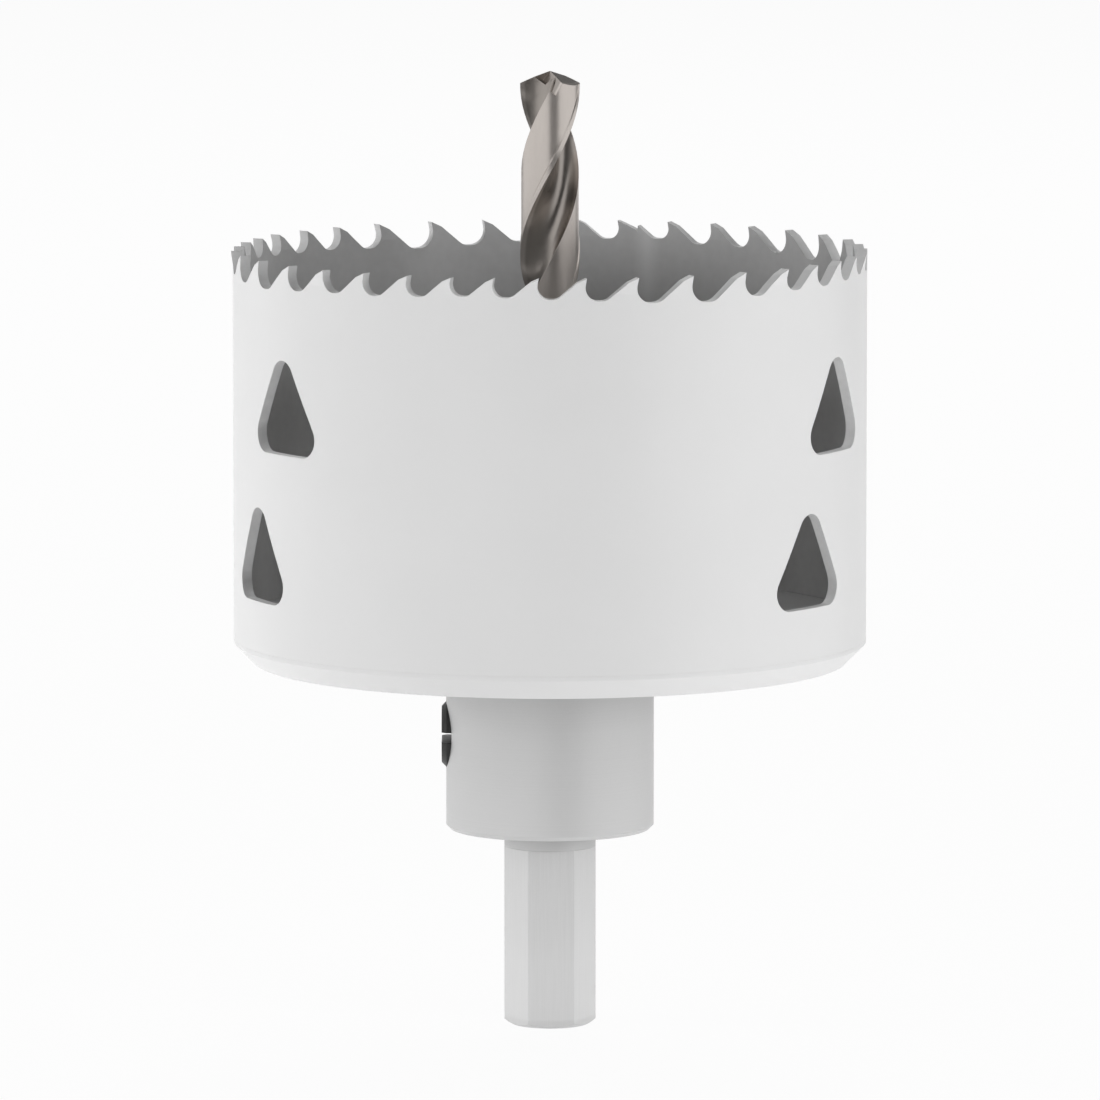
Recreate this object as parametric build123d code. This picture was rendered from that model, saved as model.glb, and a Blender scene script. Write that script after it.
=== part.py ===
from build123d import *
from math import asin, cos, degrees, hypot, pi, radians, sin, sqrt, tan
import os

# Hole saw: a toothed cup on a turned arbor, with a twist drill on its axis.
# The origin is the centre of the shank's end face, +Z runs along the axis to
# the drill's tip, and -Y is the front. Angles run counter-clockwise seen from
# the teeth, which is the way the teeth and the drill cut.

# Cup
cup_diameter = 76.0
cup_height = 49.7
wall_thickness = 1.25

# Backing plate that closes the cup
plate_thickness = 5.4
plate_bevel = 2.4
plate_land = 0.5
plate_fit_clearance = 0.05

# Teeth, in millimetres along the outside of the rolled strip: ten pitches that
# swell and shrink, repeated from the weld
pitch_run = (5.3, 5.65, 6.15, 6.95, 7.35, 6.6, 6.05, 5.95, 5.6, 5.1)
seam_angle = 72.95
seam_to_first_tip = 2.65
last_tip_to_seam = 3.5

# At the weld: the step, and the land and the gullet of the strip's two ends
seam_step = 0.75
seam_land = 2.3
seam_gullet_depth = 2.1

# Shape of one tooth and the gullet in front of it, as shares of its pitch or of
# the gullet's depth
gullet_depth_share = 0.43
gullet_radius_share = 0.6
land_length_share = 0.19
hook_angle = 10.0
land_relief_angle = 24.0
back_relief_angle = 39.0
least_gullet_floor = 0.01

# Set: some tips are bent outward
set_tooth_count = 11
first_set_tooth = 2.4
set_bend_height = 1.9
set_reach = 0.27
set_behind_tip_share = 0.56
set_ahead_of_tip_share = 0.09

# Slots in the wall: pairs, the upper one ahead of the lower one
slot_pair_count = 3
slot_width = 12.5
slot_height = 11.25
slot_corner_radius = 2.25
slot_row_bottoms = (9.0, 27.1)
slot_row_shift = 6.2
slot_pair_angle = 93.6

# Arbor
spigot_diameter = 15.875
spigot_reach = 1.0
spigot_chamfer = 0.6
spigot_clearance = 0.05
collar_diameter = 25.0
collar_length = 20.35
collar_chamfer = 0.5
neck_diameter = 11.0
neck_length = 2.2
hex_across_flats = 9.525
hex_length = 21.65
hex_turn = 2.0
hex_end_radius = 4.55
hex_end_slope = 30.0

# Pilot drill
drill_diameter = 7.15
drill_reach = 21.3
drill_seat_depth = 14.0
drill_point_angle = 135.0
drill_clearance_angle = 11.0
flute_length = 45.0
flute_runout = 6.0
flute_lead = 41.1
flute_opening_angle = 92.5
flute_root_share = 0.45
flute_throat_share = 0.02
flute_hollow = 0.3
web_thickness = 1.3
margin_width = 0.6
margin_step_angle = 2.0
body_relief = 0.12
lip_turn = -2.0
gash_turn = 63.0
gash_fall = 20.0
gash_slope = 60.0
gash_reach = 1.6
drill_end_chamfer = 0.4
pilot_bore_clearance = 0.05

# Set screw, and the flat that it presses on
screw_diameter = 8.0
screw_length = 10.0
screw_depth_below_cup = 9.0
screw_end_chamfer = 0.6
screw_point_diameter = 5.5
screw_slot_width = 1.2
screw_slot_depth = 2.3
screw_hole_clearance = 0.05
drill_flat_depth = 0.55
drill_flat_margin = 0.5

# Heights above the shank's end face
shank_length = neck_length + hex_length
collar_top = shank_length + collar_length
cup_bottom = collar_top
tooth_tip_height = cup_bottom + cup_height
plate_top = cup_bottom + plate_thickness
drill_tip = tooth_tip_height + drill_reach
drill_bottom = cup_bottom - drill_seat_depth
screw_height = cup_bottom - screw_depth_below_cup

# Radii that several pieces share
cup_radius = cup_diameter / 2
cup_inner_radius = cup_radius - wall_thickness
wall_bottom = cup_bottom + plate_bevel + plate_land
drill_radius = drill_diameter / 2
pilot_bore_radius = drill_radius + pilot_bore_clearance
drill_flat_distance = drill_radius - drill_flat_depth

# Spare length by which a cutting shape passes the surface that it cuts
overrun = 1.0


def tip_positions():
    """Places of the tooth tips along the strip, measured from its weld."""
    end = pi * cup_diameter - last_tip_to_seam
    position = seam_to_first_tip
    positions = []
    while position <= end:
        positions.append(position)
        position += pitch_run[(len(positions) - 1) % len(pitch_run)]
    return positions


def strip_angle(position):
    """Angle of a place along the strip, from the +X axis."""
    return seam_angle + degrees(position / cup_radius)


def facing_outward(angle, distance, height):
    """Place on the cup's side: local X runs round it, local Y up, local Z out."""
    direction = (cos(radians(angle)), sin(radians(angle)), 0)
    centre = (distance * direction[0], distance * direction[1], height)
    return Plane(origin=centre, x_dir=(-direction[1], direction[0], 0), z_dir=direction).location


def ring(outer_radius, inner_radius, low, high):
    """Plain ring about the axis between two heights."""
    outline = Polyline(
        (inner_radius, 0, low), (outer_radius, 0, low),
        (outer_radius, 0, high), (inner_radius, 0, high), close=True,
    )
    return revolve(make_face(outline), Axis.Z)


def gullet_outline(pitch, depth, land, step, squeeze):
    """Closed outline of the open space between two tips.

    The tips lie at (-pitch / 2, 0) and (pitch / 2, 0). The first coordinate
    runs the way the teeth cut, and the second is the height above the tips.
    At the weld the outline drops by a step. Squeeze narrows the outline where
    it lies nearer to the axis.
    """
    radius = gullet_radius_share * depth
    hook = radians(hook_angle)
    land_slope = tan(radians(land_relief_angle))
    back_relief = radians(back_relief_angle)
    lift = overrun / 2

    def at(x, z):
        return ((x - pitch / 2) * squeeze, z)

    def on_arc(centre_x, angle):
        return at(centre_x + radius * cos(angle), radius - depth + radius * sin(angle))

    face_arc_x = (radius - (depth - radius) * sin(hook)) / cos(hook)
    face_angle = pi - hook
    floor_angle = 1.5 * pi
    back_angle = floor_angle + back_relief
    land_start_x = pitch - land
    land_start_z = -land * land_slope
    floor_corner_x = land_start_x - (depth + land_start_z + step) / tan(back_relief)
    back_arc_x = max(floor_corner_x - radius * tan(back_relief / 2), face_arc_x + least_gullet_floor)

    face_top = at(lift * tan(hook), lift)
    land_top = at(pitch + lift, lift * land_slope)
    corner = at(pitch + lift, lift)
    land_start = at(land_start_x, land_start_z)
    edges = [
        Line(face_top, on_arc(face_arc_x, face_angle)),
        ThreePointArc(
            on_arc(face_arc_x, face_angle),
            on_arc(face_arc_x, (face_angle + floor_angle) / 2),
            on_arc(face_arc_x, floor_angle),
        ),
        Line(on_arc(face_arc_x, floor_angle), on_arc(back_arc_x, floor_angle)),
        ThreePointArc(
            on_arc(back_arc_x, floor_angle),
            on_arc(back_arc_x, (floor_angle + back_angle) / 2),
            on_arc(back_arc_x, back_angle),
        ),
    ]
    if step:
        weld_x = pitch - seam_to_first_tip
        weld_low = land_start_z - (land_start_x - weld_x) * tan(back_relief)
        edges.append(Line(on_arc(back_arc_x, back_angle), at(weld_x, weld_low + step)))
        edges.append(Line(at(weld_x, weld_low + step), at(weld_x, weld_low)))
        edges.append(Line(at(weld_x, weld_low), land_start))
    else:
        edges.append(Line(on_arc(back_arc_x, back_angle), land_start))
    edges.append(Line(land_start, land_top))
    edges.append(Line(land_top, corner))
    edges.append(Line(corner, face_top))
    return Wire(edges)


def gullet(start, pitch, depth, land, step):
    """Open space of one gullet, with sides that point at the cup's axis."""
    sections = []
    for distance in (cup_radius + overrun, cup_inner_radius - overrun):
        place = facing_outward(strip_angle(start + pitch / 2), distance, tooth_tip_height)
        outline = gullet_outline(pitch, depth, land, step, distance / cup_radius)
        sections.append(place * outline)
    return Solid.make_loft(sections, True)


def gullets():
    """All the gullets, the last of which holds the weld of the strip."""
    tips = tip_positions()
    spaces = []
    for tip, next_tip in zip(tips, tips[1:]):
        pitch = next_tip - tip
        spaces.append(gullet(tip, pitch, gullet_depth_share * pitch, land_length_share * pitch, 0.0))
    closing_pitch = tips[0] + pi * cup_diameter - tips[-1]
    spaces.append(gullet(tips[-1], closing_pitch, seam_gullet_depth, seam_land, seam_step))
    return spaces


def set_sector(tip, pitch, outline):
    """Turns an outline over the stretch of the strip that one tooth takes."""
    back = set_behind_tip_share * pitch
    front = set_ahead_of_tip_share * pitch
    sweep = degrees((back + front) / cup_radius)
    start = Rot(0, 0, strip_angle(tip - back))
    return start * revolve(make_face(outline), Axis.Z, sweep)


def bent_tooth(tip, pitch):
    """Tip of one set tooth, leaning outward above its bend."""
    bend = tooth_tip_height - set_bend_height
    top = tooth_tip_height + overrun / 2
    lean = set_reach * (top - bend) / set_bend_height
    outline = Polyline(
        (cup_inner_radius, 0, bend), (cup_radius, 0, bend),
        (cup_radius + lean, 0, top), (cup_inner_radius + lean, 0, top), close=True,
    )
    return set_sector(tip, pitch, outline)


def straight_tooth_space(tip, pitch):
    """The room that one tooth leaves when it is bent."""
    bend = tooth_tip_height - set_bend_height
    top = tooth_tip_height + overrun
    outline = Polyline(
        (cup_inner_radius - overrun, 0, bend), (cup_radius + overrun, 0, bend),
        (cup_radius + overrun, 0, top), (cup_inner_radius - overrun, 0, top), close=True,
    )
    return set_sector(tip, pitch, outline)


def set_teeth():
    """Tip and pitch of each tooth that is bent, spread evenly along the strip."""
    tips = tip_positions()
    chosen = []
    for number in range(set_tooth_count):
        index = round(first_set_tooth - 1 + number * len(tips) / set_tooth_count) % len(tips)
        before = tips[index - 1] if index else tips[-1] - pi * cup_diameter
        chosen.append((tips[index], tips[index] - before))
    return chosen


def slot(angle, bottom):
    """One rounded triangular slot, point up."""
    half_base = slot_width / 2 - slot_corner_radius
    peak = slot_height - 2 * slot_corner_radius
    triangle = Polygon((-half_base, 0), (half_base, 0), (0, peak), align=None)
    outline = offset(triangle, amount=slot_corner_radius, kind=Kind.ARC)
    low_centre = bottom + slot_corner_radius
    place = facing_outward(angle, cup_inner_radius - 2 * overrun, low_centre)
    return place * extrude(outline, wall_thickness + 3 * overrun)


def slots():
    """Pairs of slots round the wall, each lower one a step behind its upper."""
    shift = degrees(slot_row_shift / cup_radius)
    holes = []
    for pair in range(slot_pair_count):
        upper_angle = slot_pair_angle + pair * 360 / slot_pair_count
        for row, bottom in enumerate(slot_row_bottoms):
            angle = upper_angle + (row - 1) * shift
            holes.append(slot(angle, cup_bottom + bottom))
    return holes


def make_cup_wall():
    """Rolled toothed strip, butt-welded into a ring."""
    wall = ring(cup_radius, cup_inner_radius, wall_bottom, tooth_tip_height + overrun / 2)
    for tip, pitch in set_teeth():
        wall = wall - straight_tooth_space(tip, pitch) + bent_tooth(tip, pitch)
    return wall - gullets() - slots()


def make_backing_plate():
    """Round plate with a bevelled rim below and a shoulder that the wall sits on."""
    shoulder_radius = cup_inner_radius - plate_fit_clearance
    bore_radius = spigot_diameter / 2 + spigot_clearance
    outline = Polyline(
        (bore_radius, 0, cup_bottom),
        (cup_radius - plate_bevel, 0, cup_bottom),
        (cup_radius, 0, cup_bottom + plate_bevel),
        (cup_radius, 0, wall_bottom),
        (shoulder_radius, 0, wall_bottom),
        (shoulder_radius, 0, plate_top),
        (bore_radius, 0, plate_top),
        close=True,
    )
    return revolve(make_face(outline), Axis.Z)


def make_arbor():
    """Turned arbor: spigot, collar, neck and hex shank in one piece."""
    spigot_top = plate_top + spigot_reach
    spigot_radius = spigot_diameter / 2
    collar_radius = collar_diameter / 2
    neck_radius = neck_diameter / 2
    turned = Polyline(
        (0, 0, hex_length),
        (neck_radius, 0, hex_length),
        (neck_radius, 0, shank_length),
        (collar_radius - collar_chamfer, 0, shank_length),
        (collar_radius, 0, shank_length + collar_chamfer),
        (collar_radius, 0, collar_top),
        (spigot_radius, 0, collar_top),
        (spigot_radius, 0, spigot_top - spigot_chamfer),
        (spigot_radius - spigot_chamfer, 0, spigot_top),
        (0, 0, spigot_top),
        close=True,
    )
    body = revolve(make_face(turned), Axis.Z) + hex_shank()
    bore = Pos(0, 0, drill_bottom) * extrude(
        Circle(pilot_bore_radius), spigot_top - drill_bottom + overrun
    )
    return body - bore - screw_hole()


def hex_shank():
    """Hex whose corners are turned to the neck's diameter, with a domed end."""
    hexagon = RegularPolygon(hex_across_flats / 2, 6, major_radius=False, rotation=hex_turn)
    prism = extrude(hexagon, hex_length)
    neck_radius = neck_diameter / 2
    dome_rise = (neck_radius - hex_end_radius) * tan(radians(hex_end_slope))
    edges = domed_edge(0, hex_end_radius, dome_rise, neck_radius)
    edges.append(Polyline(
        (neck_radius, 0, dome_rise), (neck_radius, 0, hex_length), (0, 0, hex_length),
        (0, 0, 0), (hex_end_radius, 0, 0),
    ))
    return prism & revolve(make_face(edges), Axis.Z)


def domed_edge(end_height, end_radius, side_height, side_radius):
    """Arc from an end face to a side, centred on the axis, as a list of one edge."""
    rise = side_height - end_height
    reach = side_radius ** 2 - end_radius ** 2
    centre = end_height + (reach + rise ** 2) / (2 * rise)
    size = hypot(end_radius, centre - end_height)
    way = -1 if rise > 0 else 1
    middle_radius = (end_radius + side_radius) / 2
    middle_height = centre + way * sqrt(size ** 2 - middle_radius ** 2)
    return [ThreePointArc(
        (end_radius, 0, end_height), (middle_radius, 0, middle_height),
        (side_radius, 0, side_height),
    )]


def screw_hole():
    """Cross hole from the side of the collar to the pilot bore."""
    radius = screw_diameter / 2 + screw_hole_clearance
    length = collar_diameter / 2 + overrun - drill_flat_distance
    return toward_screw(drill_flat_distance) * extrude(Circle(radius), length)


def toward_screw(distance):
    """Place on the screw's axis, its local Z out of the collar and local Y up."""
    return Plane(origin=(-distance, 0, screw_height), x_dir=(0, -1, 0), z_dir=(-1, 0, 0)).location


def make_set_screw():
    """Slotted set screw with a flat point, resting on the drill's flat."""
    radius = screw_diameter / 2
    point_radius = screw_point_diameter / 2
    point_height = radius - point_radius
    rim_radius = radius - screw_end_chamfer
    rim_height = screw_length - screw_end_chamfer
    edges = domed_edge(screw_length, rim_radius, rim_height, radius)
    edges.append(Polyline(
        (rim_radius, 0, screw_length), (0, 0, screw_length), (0, 0, 0), (point_radius, 0, 0),
        (radius, 0, point_height), (radius, 0, rim_height),
    ))
    blank = revolve(make_face(edges), Axis.Z)
    cut = Pos(0, 0, screw_length - screw_slot_depth / 2 + overrun / 2) * Box(
        screw_diameter + 2 * overrun, screw_slot_width, screw_slot_depth + overrun
    )
    return toward_screw(drill_flat_distance) * (blank - cut)


def drill_section():
    """Cross section of the fluted part: two lands joined by the web."""
    radius = drill_radius
    half_web = web_thickness / 2
    lead_angle = degrees(asin(half_web / radius))
    heel_angle = lead_angle + flute_opening_angle - 180
    margin_angle = lead_angle - degrees(margin_width / radius)
    step_angle = margin_angle - margin_step_angle
    body_radius = radius - body_relief
    edges = []
    for turn in (0, 180):
        lead = polar(radius, lead_angle + turn)
        margin_end = polar(radius, margin_angle + turn)
        step_end = polar(body_radius, step_angle + turn)
        heel = polar(body_radius, heel_angle + turn)
        margin_mid = polar(radius, (lead_angle + margin_angle) / 2 + turn)
        body_mid = polar(body_radius, (step_angle + heel_angle) / 2 + turn)
        edges.append(ThreePointArc(lead, margin_mid, margin_end))
        edges.append(Line(margin_end, step_end))
        edges.append(ThreePointArc(step_end, body_mid, heel))
        edges.append(flute_curve(heel, turn, half_web))
    return make_face(edges)


def flute_curve(heel, turn, half_web):
    """Wall of one flute, from the heel of a land round to the next lip."""
    next_lip = polar(drill_radius, degrees(asin(half_web / drill_radius)) + turn + 180)
    outward = 1 if turn == 0 else -1
    root = (-flute_root_share * drill_radius * outward, -half_web * outward)
    throat = (flute_throat_share * drill_radius * outward, -(half_web + flute_hollow) * outward)
    return Spline(heel, throat, root, next_lip)


def polar(radius, angle):
    """Point at a radius and an angle in degrees."""
    return (radius * cos(radians(angle)), radius * sin(radians(angle)))


def drill_point():
    """Everything above the two flanks and the two gashes that split the point."""
    lip_fall = 90 - drill_point_angle / 2
    size = 2 * drill_diameter
    half_space = Pos(0, 0, size / 2) * Box(2 * size, 2 * size, size)
    wheel = Pos(size / 2, size / 2 - gash_reach, size / 2) * Box(size, size, size)
    flank = Rot(drill_clearance_angle, lip_fall, 0) * half_space
    gash = Rot(0, 0, -gash_turn) * Rot(0, gash_fall, 0) * Rot(gash_slope, 0, 0) * wheel
    cutters = []
    for turn in (0, 180):
        for shape in (flank, gash):
            cutters.append(Pos(0, 0, drill_tip) * Rot(0, 0, lip_turn + turn) * shape)
    return cutters


def make_pilot_drill():
    """Two-fluted twist drill with a split point and a plain shank with a flat."""
    flute_bottom = drill_tip - flute_length
    point_height = drill_radius / tan(radians(drill_point_angle / 2))
    twist = 360 * flute_length / flute_lead
    turn_at_bottom = lip_turn - twist * (1 - point_height / 2 / flute_length)
    section = Pos(0, 0, flute_bottom) * Rot(0, 0, turn_at_bottom) * drill_section()
    fluted = Solid.extrude_linear_with_rotation(
        section.face(), (0, 0, flute_bottom), (0, 0, flute_length), twist
    )
    shank_outline = Polyline(
        (0, 0, drill_bottom),
        (drill_radius - drill_end_chamfer, 0, drill_bottom),
        (drill_radius, 0, drill_bottom + drill_end_chamfer),
        (drill_radius, 0, flute_bottom),
        (web_thickness / 2, 0, flute_bottom + flute_runout),
        (0, 0, flute_bottom + flute_runout),
        close=True,
    )
    shank = revolve(make_face(shank_outline), Axis.Z)
    return fluted + shank - drill_flat() - drill_point()


def drill_flat():
    """Flat on the shank that the set screw bears on."""
    length = screw_diameter + 2 * drill_flat_margin
    block = Box(drill_diameter, 2 * drill_diameter, length)
    return Pos(-drill_flat_distance - drill_diameter / 2, 0, screw_height) * block


def main():
    os.makedirs("parts", exist_ok=True)
    pieces = {
        "cup_wall": make_cup_wall,
        "backing_plate": make_backing_plate,
        "arbor": make_arbor,
        "pilot_drill": make_pilot_drill,
        "set_screw": make_set_screw,
    }
    for name, make in pieces.items():
        export_step(make(), f"parts/{name}.step")


if __name__ == "__main__":
    main()
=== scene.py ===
from math import radians

import bpy
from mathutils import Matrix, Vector


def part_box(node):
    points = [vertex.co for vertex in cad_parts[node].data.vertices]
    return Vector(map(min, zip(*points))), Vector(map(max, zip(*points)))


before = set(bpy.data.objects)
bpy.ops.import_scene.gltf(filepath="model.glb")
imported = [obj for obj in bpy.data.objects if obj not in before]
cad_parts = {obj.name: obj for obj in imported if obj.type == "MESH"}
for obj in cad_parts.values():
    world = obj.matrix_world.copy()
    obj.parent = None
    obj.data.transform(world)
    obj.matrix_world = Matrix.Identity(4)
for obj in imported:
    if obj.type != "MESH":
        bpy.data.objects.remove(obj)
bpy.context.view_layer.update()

# The hole saw stands on the end of its shank at the origin, with its drill up
# along Z and its front towards -Y. Lengths are in metres.
MM = 0.001

# Camera, fitted to the rim, the collar and the shank in the photograph. It looks
# down by its fall, in degrees, and its lens and sensor are in millimetres.
camera_distance = 1.4004
camera_height = 0.2272
camera_fall = 6.91
camera_lens = 384.2
camera_sensor = 36.0
camera_near = 0.01
camera_far = 100.0

# Studio: the daylight of the room, and a pale floor that looks white and keeps
# a share of its own shading
room_light = 0.04
white_light = 1.0
floor_reach = 6.0
floor_sides = 96
floor_colour = 0.86
floor_roughness = 0.9
floor_shadow_share = 0.05

# Points on the axis that the lamps and cards face
cup_middle = (0, 0, 70 * MM)
drill_middle = (0, 0, 105 * MM)

# Soft lamps: name, place, width and height in metres, power in watts. The one
# on the table stands for the light that a table sends back up.
lamps = (
    ("lamp_top", (0, 0, 1.3), (1.2, 1.2), 4.2),
    ("lamp_table", (0, 0, 0.001), (0.8, 0.8), 0.56),
    ("lamp_left", (-1.05, -0.15, 0.19), (0.7, 0.36), 7.1),
    ("lamp_right", (0.76, -0.72, 0.19), (0.7, 0.36), 6.1),
    ("lamp_back", (0.10, 1.20, 1.00), (0.7, 0.7), 8.0),
)

# Dark cards that only show in gloss and metal: name, place, the point that they
# face, width and height in metres, grey level
cards = (
    ("card_rim_left", (-0.58, 0.93, 0.25), cup_middle, (0.50, 0.80), 0.05),
    ("card_rim_right", (0.76, 0.80, 0.25), cup_middle, (0.50, 0.80), 0.05),
    ("card_front", (0.145, -0.50, 0.24), drill_middle, (0.36, 0.50), 0.05),
    ("card_left", (-0.30, -0.12, 0.30), drill_middle, (0.16, 0.30), 0.05),
    ("card_right", (0.22, -0.24, 0.36), drill_middle, (0.16, 0.30), 0.05),
    ("card_back", (0.25, 0.71, 0.65), drill_middle, (0.60, 0.60), 0.10),
)

# Part of a noise's range that the finishes use
noise_range = (0.3, 0.7)


class Shader:
    """Node tree of one material, with short calls to build it."""

    def __init__(self, name):
        self.material = bpy.data.materials.new(name)
        self.material.use_nodes = True
        self.tree = self.material.node_tree
        self.surface = self.tree.nodes["Principled BSDF"]

    def add(self, kind, **settings):
        node = self.tree.nodes.new(kind)
        for key, value in settings.items():
            setattr(node, key, value)
        return node

    def feed(self, socket, value):
        """Links a socket to another one, or gives it a constant."""
        if isinstance(value, bpy.types.NodeSocket):
            self.tree.links.new(value, socket)
        else:
            socket.default_value = value

    def math(self, operation, *values):
        node = self.add("ShaderNodeMath", operation=operation)
        for socket, value in zip(node.inputs, values):
            self.feed(socket, value)
        return node.outputs["Value"]

    def vector(self, operation, *values):
        node = self.add("ShaderNodeVectorMath", operation=operation)
        for socket, value in zip(node.inputs, values):
            self.feed(socket, value)
        return node.outputs["Value" if operation in ("DOT_PRODUCT", "LENGTH") else "Vector"]

    def place(self):
        """Place on the object, in the frame's metres."""
        return self.add("ShaderNodeTexCoord").outputs["Object"]

    def flat_place(self):
        """Place on the object as seen from above."""
        return self.vector("MULTIPLY", self.place(), (1, 1, 0))

    def height(self):
        return self.vector("DOT_PRODUCT", self.place(), (0, 0, 1))

    def radius(self):
        """Distance from the axis of the saw."""
        return self.vector("LENGTH", self.flat_place())

    def face_normal(self):
        return self.add("ShaderNodeNewGeometry").outputs["True Normal"]

    def openness(self, reach):
        """1 where nothing is near, less where something within reach shelters a point."""
        node = self.add("ShaderNodeAmbientOcclusion", samples=8)
        self.feed(node.inputs["Distance"], reach)
        return node.outputs["AO"]

    def noise(self, vector, scale, detail=2.0, roughness=0.5):
        node = self.add("ShaderNodeTexNoise")
        self.feed(node.inputs["Vector"], vector)
        self.feed(node.inputs["Scale"], scale)
        self.feed(node.inputs["Detail"], detail)
        self.feed(node.inputs["Roughness"], roughness)
        return node.outputs["Fac"]

    def span(self, value, source, target):
        """Maps a range of one value onto another, without going past it."""
        node = self.add("ShaderNodeMapRange", clamp=True)
        for socket, number in zip(node.inputs, (value, *source, *target)):
            self.feed(socket, number)
        return node.outputs["Result"]

    def mix(self, share, first, second):
        """Number between two numbers."""
        node = self.add("ShaderNodeMix")
        self.feed(node.inputs["Factor"], share)
        self.feed(node.inputs["A"], first)
        self.feed(node.inputs["B"], second)
        return node.outputs["Result"]

    def blend(self, share, first, second):
        """Colour between two colours."""
        node = self.add("ShaderNodeMixRGB")
        for socket, value in zip(node.inputs, (share, first, second)):
            self.feed(socket, value)
        return node.outputs["Color"]

    def bump(self, height, distance, strength, normal):
        node = self.add("ShaderNodeBump")
        self.feed(node.inputs["Height"], height)
        self.feed(node.inputs["Distance"], distance)
        self.feed(node.inputs["Strength"], strength)
        self.feed(node.inputs["Normal"], normal)
        return node.outputs["Normal"]

    def rounded(self, radius):
        """Normal that rounds the edges off in the light."""
        node = self.add("ShaderNodeBevel", samples=6)
        self.feed(node.inputs["Radius"], radius)
        return node.outputs["Normal"]

    def set(self, **values):
        """Sets sockets of the surface, with _ for a space in their names."""
        for name, value in values.items():
            self.feed(self.surface.inputs[name.replace("_", " ")], value)


def grey(level):
    return (level, level, level, 1)


black = grey(0.0)
white = grey(1.0)

# Enamel on the outside of the cup, in soft clouds of two close shades, with the
# fine peel of a sprayed coat
enamel_colour = grey(0.785)
cloud_colour = grey(0.775)
cloud_scale = 60
cloud_range = (0.35, 0.65)
peel_scale = 500
peel_depth = 0.02 * MM
peel_strength = 0.25
cup_edge_radius = 0.08 * MM
cup_roughness = (0.36, 0.42)
cup_refraction = 1.45

# Bare steel of the cup: on the cut edges, on the teeth, and inside from the mouth
# of the cup down to the foot of the wall, or on the plate. The cut edges below the
# teeth are bare steel set much paler than the teeth, as painted light on the slot
# edges, which stand in shade
cut_steel_and_painted_light_colour = grey(0.86)
tooth_colour = grey(0.60)
mouth_colour = grey(0.50)
wall_colour = grey(0.61)
plate_colour = grey(0.42)
bare_grain_scale = 900
bare_grain_share = 0.06

# Lowest and highest point of the wall, and the height that the teeth take of it
cup_low, cup_mouth = (corner[2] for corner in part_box("cup_wall"))
tooth_zone = 6 * MM

# How squarely a face looks away from the axis to be the wall's outside, or
# towards it to be its inside, and how steeply up it looks to be the plate's top
wall_facing = 0.8
plate_facing = 0.5

# Paler mark that the weld of the strip left inside: the angles from the +X axis
# between which it lies, the width over which it fades, in degrees, and its colour
weld_mark_start = 70.8
weld_mark_end = 71.4
weld_mark_fade = 2.6
weld_colour = grey(0.60)


def weld_mark(shader):
    """1 on the mark that the weld left inside the cup, 0 elsewhere."""
    split = shader.add("ShaderNodeSeparateXYZ")
    shader.feed(split.inputs[0], shader.place())
    angle = shader.math("ARCTAN2", split.outputs["Y"], split.outputs["X"])
    fade = radians(weld_mark_fade)
    start = radians(weld_mark_start)
    end = radians(weld_mark_end)
    rise = shader.span(angle, (start - fade, start), (0, 1))
    fall = shader.span(angle, (end, end + fade), (1, 0))
    return shader.math("MULTIPLY", rise, fall)


def outward_share(shader):
    """1 on what faces away from the axis, -1 on what faces it, 0 in between."""
    outward = shader.vector("NORMALIZE", shader.flat_place())
    return shader.vector("DOT_PRODUCT", shader.face_normal(), outward)


def wall_outside(shader):
    return shader.math("GREATER_THAN", outward_share(shader), wall_facing)


def wall_outside_or_cut(shader):
    return shader.math("GREATER_THAN", outward_share(shader), -wall_facing)


def plate_outside(shader):
    upward_share = shader.vector("DOT_PRODUCT", shader.face_normal(), (0, 0, 1))
    return shader.math("LESS_THAN", upward_share, plate_facing)


def nowhere(shader):
    return 0.0


def cup_finish(name, outside, outside_or_cut, mark, low_colour):
    """White enamel outside, bare steel where the strip was cut, paler below the teeth as painted
    light, dark steel inside.
    """
    shader = Shader(name)
    place = shader.place()
    height = shader.height()
    clouds = shader.span(shader.noise(place, cloud_scale), cloud_range, (0, 1))
    enamel = shader.blend(clouds, cloud_colour, enamel_colour)
    grain = shader.noise(place, bare_grain_scale, detail=3)
    grain_share = shader.span(grain, noise_range, (bare_grain_share, 0))
    rise = shader.span(height, (cup_low, cup_mouth), (0, 1))
    inner = shader.blend(rise, low_colour, mouth_colour)
    inner = shader.blend(grain_share, inner, black)
    inner = shader.blend(mark(shader), inner, weld_colour)
    on_teeth = shader.math("GREATER_THAN", height, cup_mouth - tooth_zone)
    # Below the teeth the cut edges take the paler colour: painted light on bare steel faces that
    # stand in shade
    cut = shader.blend(on_teeth, cut_steel_and_painted_light_colour, tooth_colour)
    cut = shader.blend(grain_share, cut, black)
    steel = shader.blend(outside_or_cut(shader), inner, cut)
    peel = shader.noise(place, peel_scale, detail=1)
    shader.set(
        Base_Color=shader.blend(outside(shader), steel, enamel),
        Roughness=shader.span(grain, noise_range, cup_roughness),
        Normal=shader.bump(peel, peel_depth, peel_strength, shader.rounded(cup_edge_radius)),
        IOR=cup_refraction,
    )
    return shader.material


# Arbor: turned lines run round the collar and the neck. Up to the top of the
# hex the steel is paler, and drawn lines run along it.
hex_top = 21.65 * MM
collar_colour = grey(0.63)
hex_colour = grey(0.73)
turned_scale = 5200
drawn_scale = 4200
drawn_stretch = (1, 1, 0.03)
line_sharpness = 0.6
line_share = 0.04
line_depth = 0.01 * MM
line_strength = 0.12
arbor_edge_radius = 0.25 * MM
arbor_roughness = (0.44, 0.50)
arbor_metal = 0.5

# Shade on the arbor close under the cup and the collar: how far it reaches, its
# share of black, the openness over which it fades, and the heights over which
# it comes in, so that the floor leaves none
shelter_reach = 22 * MM
shelter_share = 0.30
shelter_fade = (0.4, 1.0)
shelter_heights = (8 * MM, 20 * MM)


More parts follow.
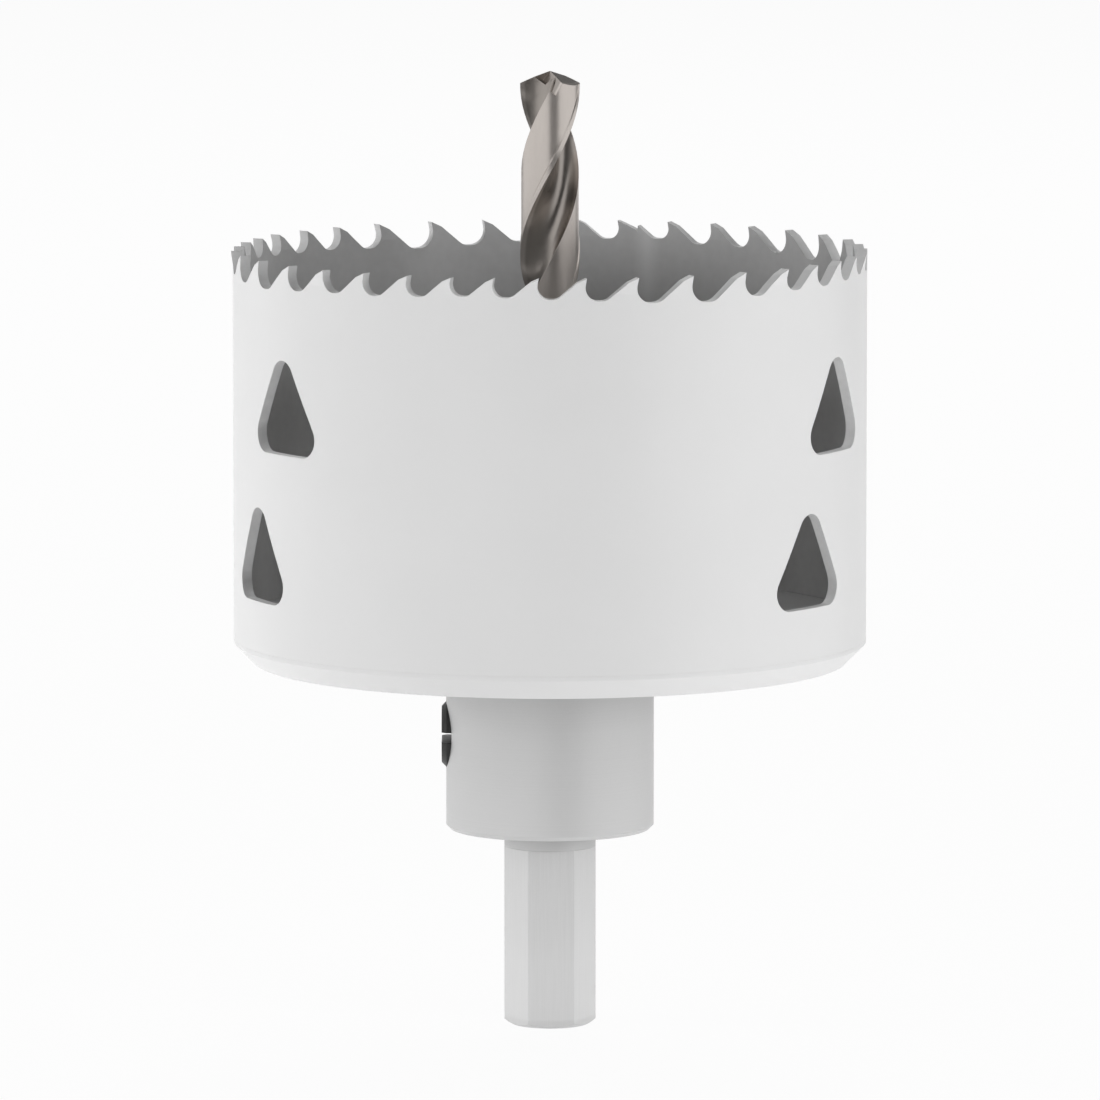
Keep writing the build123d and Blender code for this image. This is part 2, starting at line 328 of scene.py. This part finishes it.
def arbor_finish():
    """Turned steel with fine lines round the collar and along the hex."""
    shader = Shader("arbor_turned_steel")
    height = shader.height()
    on_hex = shader.math("LESS_THAN", height, hex_top)
    rings = shader.add("ShaderNodeCombineXYZ")
    shader.feed(rings.inputs["X"], shader.radius())
    shader.feed(rings.inputs["Z"], height)
    turned = shader.noise(rings.outputs["Vector"], turned_scale, roughness=line_sharpness)
    stretched = shader.vector("MULTIPLY", shader.place(), drawn_stretch)
    drawn = shader.noise(stretched, drawn_scale, roughness=line_sharpness)
    lines = shader.mix(on_hex, turned, drawn)
    shelter = shader.span(shader.openness(shelter_reach), shelter_fade, (shelter_share, 0))
    shelter = shader.math("MULTIPLY", shelter, shader.span(height, shelter_heights, (0, 1)))
    darker = shader.math("ADD", shelter, shader.span(lines, noise_range, (line_share, 0)))
    steel = shader.blend(on_hex, collar_colour, hex_colour)
    shader.set(
        Base_Color=shader.blend(darker, steel, black),
        Roughness=shader.span(lines, noise_range, arbor_roughness),
        Normal=shader.bump(lines, line_depth, line_strength, shader.rounded(arbor_edge_radius)),
        Metallic=arbor_metal,
    )
    return shader.material


# Drill: warm grey on the lands, and darker inside the radius where its flutes
# and its point show, with a short blend. Its grinding marks run along it.
land_colour = (0.58, 0.535, 0.50, 1)
flute_colour = (0.36, 0.33, 0.305, 1)
flute_radius = 3.0 * MM
flute_blend = 0.15 * MM
ground_scale = 2500
ground_stretch = (1, 1, 0.2)
ground_sharpness = 0.6
ground_share = 0.05
ground_depth = 0.01 * MM
ground_strength = 0.04
drill_edge_radius = 0.05 * MM
drill_roughness = (0.28, 0.32)
drill_metal = 1.0


def drill_finish():
    """High speed steel, warm grey on the ground lands and darker in the flutes."""
    shader = Shader("drill_ground_steel")
    stretched = shader.vector("MULTIPLY", shader.place(), ground_stretch)
    marks = shader.noise(stretched, ground_scale, detail=3, roughness=ground_sharpness)
    land_edge = (flute_radius - flute_blend, flute_radius + flute_blend)
    on_land = shader.span(shader.radius(), land_edge, (0, 1))
    steel = shader.blend(on_land, flute_colour, land_colour)
    darker = shader.span(marks, noise_range, (ground_share, 0))
    shader.set(
        Base_Color=shader.blend(darker, steel, black),
        Roughness=shader.span(marks, noise_range, drill_roughness),
        Normal=shader.bump(marks, ground_depth, ground_strength, shader.rounded(drill_edge_radius)),
        Metallic=drill_metal,
    )
    return shader.material


# Screw: the two shades of its oxide, and the fine grain under it
oxide_dark = grey(0.014)
oxide_pale = grey(0.024)
oxide_scale = 1600
oxide_sharpness = 0.6
oxide_depth = 0.02 * MM
oxide_strength = 0.3
screw_edge_radius = 0.1 * MM
screw_roughness = (0.4, 0.5)
screw_metal = 0.3


def screw_finish():
    """Black oxide on steel."""
    shader = Shader("screw_black_oxide")
    grain = shader.noise(shader.place(), oxide_scale, detail=3, roughness=oxide_sharpness)
    shader.set(
        Base_Color=shader.blend(shader.span(grain, noise_range, (0, 1)), oxide_dark, oxide_pale),
        Roughness=shader.span(grain, noise_range, screw_roughness),
        Normal=shader.bump(grain, oxide_depth, oxide_strength, shader.rounded(screw_edge_radius)),
        Metallic=screw_metal,
    )
    return shader.material


def give(node, material):
    """Gives a part of the frame its finish."""
    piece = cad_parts[node]
    piece.data.materials.clear()
    piece.data.materials.append(material)


def seen_directly(nodes, links):
    """1 for what the camera, a gloss or a glass sees, 0 for plain light."""
    path = nodes.new("ShaderNodeLightPath")
    camera_or_gloss = nodes.new("ShaderNodeMath")
    camera_or_gloss.operation = "MAXIMUM"
    links.new(path.outputs["Is Camera Ray"], camera_or_gloss.inputs[0])
    links.new(path.outputs["Is Glossy Ray"], camera_or_gloss.inputs[1])
    any_of_them = nodes.new("ShaderNodeMath")
    any_of_them.operation = "MAXIMUM"
    links.new(camera_or_gloss.outputs[0], any_of_them.inputs[0])
    links.new(path.outputs["Is Transmission Ray"], any_of_them.inputs[1])
    return any_of_them.outputs[0]


def make_world():
    """White to look at, and a soft even light on the object."""
    world = bpy.data.worlds.new("studio_world")
    bpy.context.scene.world = world
    world.use_nodes = True
    nodes, links = world.node_tree.nodes, world.node_tree.links
    nodes.clear()
    soft = nodes.new("ShaderNodeBackground")
    soft.inputs["Color"].default_value = white
    soft.inputs["Strength"].default_value = room_light
    bright = nodes.new("ShaderNodeBackground")
    bright.inputs["Color"].default_value = white
    bright.inputs["Strength"].default_value = white_light
    mix = nodes.new("ShaderNodeMixShader")
    links.new(seen_directly(nodes, links), mix.inputs[0])
    links.new(soft.outputs[0], mix.inputs[1])
    links.new(bright.outputs[0], mix.inputs[2])
    output = nodes.new("ShaderNodeOutputWorld")
    links.new(mix.outputs[0], output.inputs["Surface"])


def make_floor():
    """Pale floor that looks white and keeps a soft shadow."""
    bpy.ops.mesh.primitive_circle_add(vertices=floor_sides, radius=floor_reach, fill_type="NGON")
    floor = bpy.context.object
    floor.name = "studio_floor"
    material = bpy.data.materials.new("floor_white")
    material.use_nodes = True
    nodes, links = material.node_tree.nodes, material.node_tree.links
    surface = nodes["Principled BSDF"]
    surface.inputs["Base Color"].default_value = grey(floor_colour)
    surface.inputs["Roughness"].default_value = floor_roughness
    glow = nodes.new("ShaderNodeEmission")
    glow.inputs["Color"].default_value = white
    glow.inputs["Strength"].default_value = white_light
    share = nodes.new("ShaderNodeMath")
    share.operation = "MULTIPLY"
    share.inputs[1].default_value = 1 - floor_shadow_share
    links.new(seen_directly(nodes, links), share.inputs[0])
    mix = nodes.new("ShaderNodeMixShader")
    links.new(share.outputs[0], mix.inputs[0])
    links.new(surface.outputs[0], mix.inputs[1])
    links.new(glow.outputs[0], mix.inputs[2])
    links.new(mix.outputs[0], nodes["Material Output"].inputs["Surface"])
    floor.data.materials.append(material)


def aim(thing, place, target, front):
    """Puts a thing at a place, with its front axis towards a point."""
    thing.location = place
    thing.rotation_euler = (Vector(target) - Vector(place)).to_track_quat(front, "Y").to_euler()


def lamp(name, place, size, power):
    """Soft lamp that faces the cup, and shows neither to the camera nor in gloss."""
    light = bpy.data.lights.new(name, "AREA")
    light.shape = "RECTANGLE"
    light.size, light.size_y = size
    light.energy = power
    holder = bpy.data.objects.new(name, light)
    aim(holder, place, cup_middle, "-Z")
    holder.visible_camera = False
    holder.visible_glossy = False
    bpy.context.scene.collection.objects.link(holder)


def dark_card(name, place, target, size, level):
    """Grey card that only shows as a reflection in gloss and metal."""
    width, height = size
    corners = [(x * width / 2, y * height / 2, 0) for x, y in ((-1, -1), (1, -1), (1, 1), (-1, 1))]
    mesh = bpy.data.meshes.new(name)
    mesh.from_pydata(corners, [], [(0, 1, 2, 3)])
    card = bpy.data.objects.new(name, mesh)
    aim(card, place, target, "Z")
    material = bpy.data.materials.new(name)
    material.use_nodes = True
    nodes, links = material.node_tree.nodes, material.node_tree.links
    glow = nodes.new("ShaderNodeEmission")
    glow.inputs["Color"].default_value = grey(level)
    links.new(glow.outputs[0], nodes["Material Output"].inputs["Surface"])
    mesh.materials.append(material)
    card.visible_camera = False
    card.visible_diffuse = False
    card.visible_transmission = False
    card.visible_shadow = False
    bpy.context.scene.collection.objects.link(card)


def make_camera():
    """Long lens at the photograph's place and angle."""
    data = bpy.data.cameras.new("camera")
    data.lens = camera_lens
    data.sensor_width = camera_sensor
    data.clip_start = camera_near
    data.clip_end = camera_far
    camera = bpy.data.objects.new("camera", data)
    camera.location = (0, -camera_distance, camera_height)
    camera.rotation_euler = (radians(90 - camera_fall), 0, 0)
    bpy.context.scene.collection.objects.link(camera)
    bpy.context.scene.camera = camera


make_camera()
make_world()
make_floor()
for lamp_facts in lamps:
    lamp(*lamp_facts)
for card_facts in cards:
    dark_card(*card_facts)

bpy.context.scene.view_settings.view_transform = "Standard"

wall_enamel = cup_finish("cup_wall_enamel", wall_outside, wall_outside_or_cut, weld_mark, wall_colour)
plate_enamel = cup_finish("plate_enamel", plate_outside, nowhere, nowhere, plate_colour)
give("cup_wall", wall_enamel)
give("backing_plate", plate_enamel)
give("arbor", arbor_finish())
give("pilot_drill", drill_finish())
give("set_screw", screw_finish())
